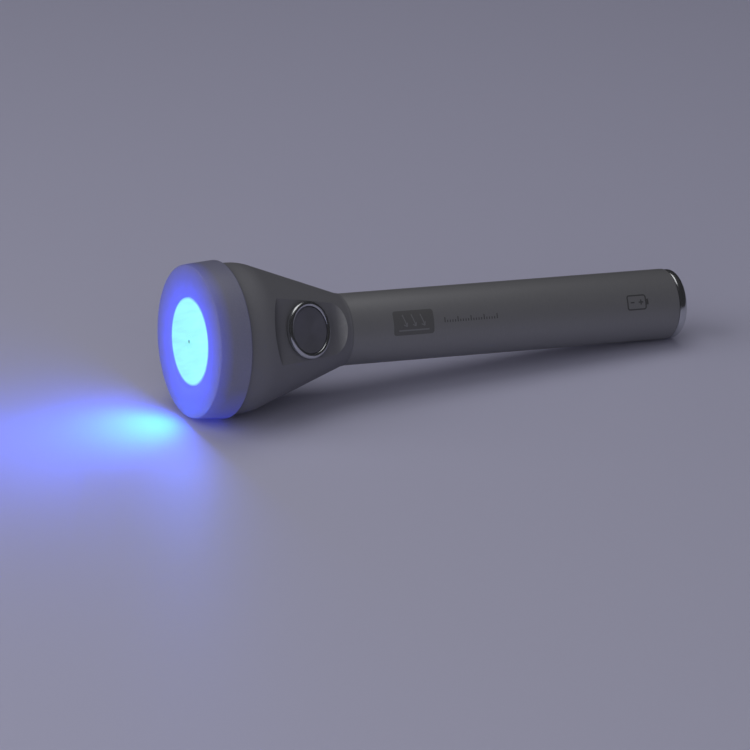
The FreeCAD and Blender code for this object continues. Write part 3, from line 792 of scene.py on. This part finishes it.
def make_tail_cap():
    """Tail cap: a rounded flange with a coin slot, and a spigot with a seal groove and a helical thread."""
    front = TUBE_END + 0.1
    rim_round, front_round = 2.0, 0.9
    spigot, bore, tip_taper, end_wall = 13.4, 11.3, 0.4, 1.2
    seal_start, seal_end, seal_floor = front - 1.9, front - 0.7, spigot - 0.95
    pitch, depth, fade_length = 1.5, 0.65, 0.4
    groove_reach, groove_slope = 1.6, 5
    thread_start, thread_end = CAP_TIP + 0.5, front - 2.3
    thread_rows = 60

    def thread(along, radius, angle):
        """A flat-crested thread that fades out at both ends."""
        if not thread_start < along < thread_end or radius < spigot - 0.01:
            return radius
        phase = (along / pitch - angle / TURN) % 1
        groove = min(1.0, max(0.0, groove_reach - abs(phase - 0.5) * groove_slope))
        fade = min(1.0, (along - thread_start) / fade_length, (thread_end - along) / fade_length)
        return radius - depth * groove * fade

    stations = [thread_end + (thread_start - thread_end) * k / thread_rows for k in range(thread_rows + 1)]
    outline = rounded([
        (CAP_END, 0),
        (CAP_END, CAP_RADIUS, rim_round),
        (front, CAP_RADIUS, front_round),
        (front, spigot),
        (seal_end, spigot),
        (seal_end, seal_floor),
        (seal_start, seal_floor),
        (seal_start, spigot),
        *[(station, spigot) for station in stations],
        (CAP_TIP, spigot - tip_taper),
        (CAP_TIP, bore),
        (front - end_wall, bore),
        (front - end_wall, 0),
    ])
    cap = turned("cap_threaded", LAMP, outline, relief=thread)
    cut_slot(cap)
    stands_for(cap, "tail_cap", "bright_chrome")


def cut_slot(cap):
    """Cuts the coin slot, with round ends and chamfered lips, across the cap's end face."""
    reach, half, deep, lip, above = 9.1, 0.9, 1.3, 0.2, 0.1
    levels = [(CAP_END - deep, half), (CAP_END - lip, half), (CAP_END + above, half + lip + above)]
    around = 12
    loop = [(side, TURN / 4 * (2 * k / around - 1)) for side in (1, -1) for k in range(around + 1)]
    vertices = [
        LAMP @ (Vector((x, side * (reach + width * math.cos(turn)), side * width * math.sin(turn))) * MM)
        for x, width in levels
        for side, turn in loop
    ]
    count = len(loop)
    faces = [list(range(count)), list(range(2 * count, 3 * count))]
    faces += [
        [row + k, row + (k + 1) % count, row + count + (k + 1) % count, row + count + k]
        for row in (0, count)
        for k in range(count)
    ]
    cutter = add_mesh("slot_cutter", vertices, faces)
    cutting = cap.modifiers.new("slot", "BOOLEAN")
    cutting.operation = "DIFFERENCE"
    cutting.solver = "EXACT"
    cutting.object = cutter
    bpy.context.view_layer.update()
    cut = bpy.data.meshes.new_from_object(cap.evaluated_get(bpy.context.evaluated_depsgraph_get()))
    cap.modifiers.clear()
    cap.data = cut
    smooth(cut)
    bpy.data.objects.remove(cutter)


# ---------------------------------------------------------------- marks on the tube

# How far a mark's solid reaches into the tube, and the panel's middle along the tube.
SUNK = -0.02
PANEL_MIDDLE = 96.0


def wrapped(along, across, lift):
    """A point on the tube's button side, that far along it and round it, lifted off it by lift."""
    angle = across / TUBE_RADIUS
    out = TUBE_RADIUS + lift
    return LAMP @ (Vector((along, out * math.sin(angle), out * math.cos(angle))) * MM)


def stroke(points, width, lift, closed=False):
    """Vertices and faces of a printed line of that width, a thin closed solid that follows the tube."""
    count = len(points)
    vertices, faces = [], []
    for i, point in enumerate(points):
        before = points[i - 1] if closed or i else point
        after = points[(i + 1) % count] if closed or i < count - 1 else point
        heading = (after - before).normalized()
        side = Vector((-heading.y, heading.x)) * width / 2
        vertices += [
            wrapped(*(point + side), lift),
            wrapped(*(point - side), lift),
            wrapped(*(point - side), SUNK),
            wrapped(*(point + side), SUNK),
        ]
    for i in range(count if closed else count - 1):
        here, there = 4 * i, 4 * ((i + 1) % count)
        faces += [[here + k, here + (k + 1) % 4, there + (k + 1) % 4, there + k] for k in range(4)]
    if not closed:
        faces += [[0, 1, 2, 3], [4 * count - k for k in (1, 2, 3, 4)]]
    return vertices, faces


def line(start, end, step=0.8):
    """Points from start to end, close enough together to follow the tube."""
    start, end = Vector(start), Vector(end)
    count = max(1, round((end - start).length / step))
    return [start.lerp(end, k / count) for k in range(count + 1)]


def box_line(centre, width, height, corner):
    """Points round a rectangle with rounded corners."""
    signs = ((1, 1), (-1, 1), (-1, -1), (1, -1))
    corners = [(x * width / 2 + centre[0], y * height / 2 + centre[1], corner) for x, y in signs]
    bends = rounded(corners, steps=5)
    points = []
    for start, end in zip(bends, bends[1:] + bends[:1]):
        points += line(start, end)[:-1]
    return points


def add_mark(name, vertices, faces, finish):
    """A mark's piece, which moves with the tube."""
    piece = add_mesh(name, vertices, faces)
    piece.data.materials.append(finish)
    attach(piece, frame["nodes"]["body_tube"]["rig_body"])


def printed(name, strokes, finish, lift=0.03):
    """One piece of printed lines on the tube. Each stroke is (points, width, closed)."""
    vertices, faces = [], []
    for points, width, closed in strokes:
        more, sides = stroke(points, width, lift, closed)
        faces += [[k + len(vertices) for k in side] for side in sides]
        vertices += more
    add_mark(name, vertices, faces, finish)


def make_panel(finish):
    """The panel's ground: a thin sheet with rounded corners, laid round the tube."""
    width, height, corner, lift = 18.6, 10.4, 1.2, 0.015
    columns, rows = 40, 16
    vertices, faces = [], []
    for i in range(columns + 1):
        x = -math.cos(math.pi * i / columns) * width / 2
        inside = max(0.0, abs(x) - (width / 2 - corner))
        half = height / 2 - corner + math.sqrt(max(0.0, corner ** 2 - inside ** 2))
        for level in (lift, SUNK):
            vertices += [wrapped(PANEL_MIDDLE + x, half * (2 * j / rows - 1), level) for j in range(rows + 1)]
    sheet = rows + 1
    around = [*range(sheet), *range(2 * sheet - 1, sheet - 1, -1)]
    for i in range(columns):
        here, there = 2 * sheet * i, 2 * sheet * (i + 1)
        for a, b in zip(around, around[1:] + around[:1]):
            faces.append([here + a, here + b, there + b, there + a])
    for end in (0, 2 * sheet * columns):
        for j in range(end, end + rows):
            faces.append([j, j + 1, sheet + j + 1, sheet + j])
    add_mark("mark_panel", vertices, faces, finish)


def make_rays():
    """Three rays that fall on a surface, drawn on the panel in the tube's own finish."""
    half_width, surface, surface_width = 7.0, -3.2, 0.6
    first, pitch, slant = 91.0, 4.1, 1.8
    top, foot, ray_width = 3.4, -1.6, 0.5
    barbs, barb_width = ((-1.5, 0.75), (0.15, 1.65)), 0.45
    ground = line((PANEL_MIDDLE - half_width, surface), (PANEL_MIDDLE + half_width, surface))
    strokes = [(ground, surface_width, False)]
    for k in range(3):
        start = first + pitch * k
        tip = Vector((start + slant, foot))
        strokes.append((line((start, top), tip), ray_width, False))
        strokes += [(line(tip + Vector(barb), tip), barb_width, False) for barb in barbs]
    printed("mark_rays", strokes, FINISHES["tube_anodising"], lift=0.035)


def make_ticks(ink):
    """A plain row of ticks. Every fifth one is longer."""
    first, pitch, count, width = 110.4, 1.22, 21, 0.4
    bottom, short, tall = -1.1, -0.1, 1.1
    strokes = []
    for k in range(count):
        along = first + pitch * k
        top = tall if k % 5 == 0 else short
        strokes.append((line((along, bottom), (along, top)), width, False))
    printed("mark_ticks", strokes, ink)


def make_battery(ink):
    """A battery's outline with a plus and a minus sign. The plus sign's upright stops short of its bar."""
    along, across, width, height, corner, outline = 201.3, 0.9, 8.6, 6.0, 0.9, 0.6
    knob, knob_half, knob_width = 206.4, 1.2, 0.9
    plus, arm, gap = 203.3, 1.1, 0.28
    minus, minus_half = 199.3, 0.9
    thin = 0.55
    strokes = [
        (box_line((along, across), width, height, corner), outline, True),
        (line((knob, across - knob_half), (knob, across + knob_half)), knob_width, False),
        (line((plus - arm, across), (plus + arm, across)), thin, False),
        (line((plus, across - arm), (plus, across - gap)), thin, False),
        (line((plus, across + gap), (plus, across + arm)), thin, False),
        (line((minus - minus_half, across), (minus + minus_half, across)), thin, False),
    ]
    printed("mark_battery", strokes, ink)


def make_marks():
    """Generic marks: a panel with rays, a row of ticks, and a battery with its plus side."""
    ink = mark_ink()
    make_panel(mark_panel())
    make_rays()
    make_ticks(ink)
    make_battery(ink)


# ---------------------------------------------------------------- the CAD nodes that stay


def finish_nodes():
    """Gives every CAD node its slot's finish, and shades it by the angle of its edges."""
    slots = {part["node"]: part["material_slot"] for part in frame["record"]["subparts"]}
    shading = shade_by_angle()
    for name, node in frame["nodes"].items():
        for place in node.material_slots:
            place.material = FINISHES[slots[name]]
        node.modifiers.new("shading", "NODES").node_group = shading


# ---------------------------------------------------------------- camera, floor and lights


def aim(obj, place, target):
    """Puts a camera or a light at a place, looking at a target."""
    obj.location = place
    obj.rotation_mode = "QUATERNION"
    obj.rotation_quaternion = (Vector(place) - target).to_track_quat("Z", "Y")


def make_camera():
    """A long lens a little above the lamp, on the button's side, with the head nearer than the tail."""
    azimuth, elevation, distance = math.radians(-26.32), math.radians(20.46), 2.481
    subject = Vector((-0.0019, 0, 0.020))
    aside, below = 0.0226, 0.0180
    towards = Vector((
        math.sin(azimuth) * math.cos(elevation),
        -math.cos(azimuth) * math.cos(elevation),
        math.sin(elevation),
    ))
    right = Vector((math.cos(azimuth), math.sin(azimuth), 0))
    up = towards.cross(right)
    data = bpy.data.cameras.new("camera")
    data.lens, data.sensor_width = 284.7, 36
    data.clip_start, data.clip_end = 0.1, 50
    camera = add("camera", data)
    aim(camera, subject + towards * distance, subject - right * aside - up * below)
    bpy.context.scene.camera = camera


def make_floor():
    """Plain pale table top with a faint satin unevenness."""
    half = 4.0
    corners = [(-half, -half, 0), (half, -half, 0), (half, half, 0), (-half, half, 0)]
    floor = add_mesh("floor", corners, [(0, 1, 2, 3)])
    graph = grained(
        "floor",
        dark=(0.575, 0.57, 0.76),
        light=(0.59, 0.585, 0.775),
        grain=1.2,
        rough=(0.5, 0.62),
        depth=0.004,
    )
    floor.data.materials.append(graph.material)


def make_surroundings():
    """Dim bluish surroundings, and plain tones."""
    world = bpy.data.worlds.new("studio")
    world.use_nodes = True
    background = world.node_tree.nodes["Background"]
    background.inputs["Color"].default_value = (0.9, 0.9, 1.0, 1)
    background.inputs["Strength"].default_value = 0.018
    bpy.context.scene.world = world
    bpy.context.scene.view_settings.view_transform = "Standard"


def make_light(name, position, size, power, mirrored=False):
    """A soft square light that faces the lamp. Bright metal shows it only where mirrored is true."""
    data = bpy.data.lights.new(name, "AREA")
    data.size, data.energy = size, power
    light = add(name, data)
    light.visible_glossy = mirrored
    aim(light, position, Vector())


def make_lights():
    """Large soft lights overhead, at the front, on the left and low on the right."""
    make_light("overhead", position=(0.1, 0.3, 1.3), size=1.0, power=3.4, mirrored=True)
    make_light("front_high", position=(-0.5, -0.9, 1.3), size=1.3, power=2.0)
    make_light("front_low", position=(-0.8, -1.7, 0.45), size=1.4, power=5.6)
    make_light("front_left", position=(-1.6, -0.9, 0.75), size=1.5, power=3.6)
    make_light("left", position=(-1.4, 0.2, 0.8), size=1.6, power=9.0)
    make_light("right_low", position=(1.5, -1.05, 0.4), size=0.9, power=0.95)


# Just before the middle of the window.
BEAM_START = LAMP @ Vector((-0.2 * MM, 0, 0))


def make_beam():
    """The light that leaves the window, in a wide part and a narrower one."""
    for name, power, spread in (("beam_wide", 0.092, 180), ("beam", 0.105, 120)):
        data = bpy.data.lights.new(name, "AREA")
        data.shape = "DISK"
        data.size = 2 * WINDOW_RADIUS * MM
        data.spread = math.radians(spread)
        data.energy, data.color = power, (0.055, 0.13, 1.0)
        beam = add(name, data)
        aim(beam, BEAM_START, BEAM_START - AXIS)
        beam.visible_camera = False


def make_glow():
    """The part of the beam that falls on the table just before the ring."""
    forward, down, reach = 6, 9, 27
    data = bpy.data.lights.new("glow", "SPOT")
    data.spot_size, data.spot_blend = math.radians(100), 1.0
    data.shadow_soft_size = 5 * MM
    data.energy, data.color = 0.27, (0.0, 0.135, 1.0)
    glow = add("glow", data)
    lit = Vector((BEAM_START.x - reach * MM, 0, 0))
    aim(glow, BEAM_START - Vector((forward, 0, down)) * MM, lit)
    glow.visible_camera = False


# ---------------------------------------------------------------- the whole picture

make_camera()
make_floor()
make_surroundings()
make_lights()
make_beam()
make_glow()
finish_nodes()
make_ring()
make_tube()
make_bezel()
make_button()
make_button_spring()
make_tail_cap()
make_marks()
